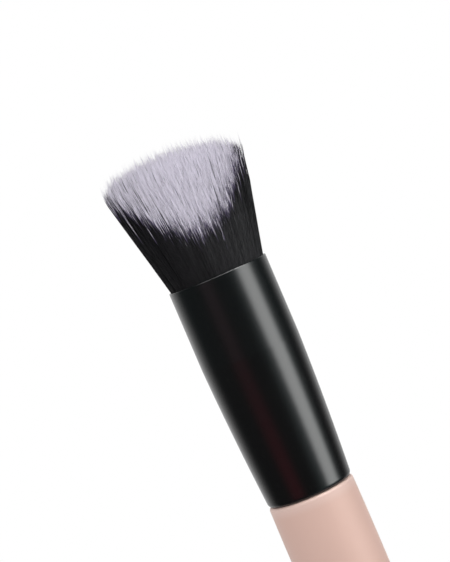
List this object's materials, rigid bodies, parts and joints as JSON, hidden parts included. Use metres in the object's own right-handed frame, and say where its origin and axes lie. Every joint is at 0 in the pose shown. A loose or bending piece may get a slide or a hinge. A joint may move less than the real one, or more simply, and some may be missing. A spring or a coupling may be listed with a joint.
{
  "type": "kabuki makeup brush",
  "caption": "Long-handled kabuki makeup brush: round lacquered handle, tapered black ferrule, dense flared two-tone fibres cut on a slant.",
  "frame": {"origin": "centre of the flat end of the handle, on which the brush stands", "axes": "+Z along the brush from the handle to the fibres, -Y the way the slanted face looks, +X to the right when looking at that face"},
  "size_m": [0.0292, 0.0266, 0.1699],
  "materials": {
    "handle_lacquer": "satin",
    "ferrule_black": "gloss",
    "black_fibre": "satin",
    "white_fibre": "satin",
    "bound_fibre": "matte",
    "binding_thread": "matte",
    "resin": "gloss"
  },
  "bodies": {
    "root": {"handle": "handle_lacquer", "ferrule": "ferrule_black", "black_fibres": "black_fibre", "white_fibres": "white_fibre", "fibre_root": "bound_fibre", "root_binding": "binding_thread", "resin_plug": "resin", "tenon_glue": "resin"}
  },
  "joints": []
}
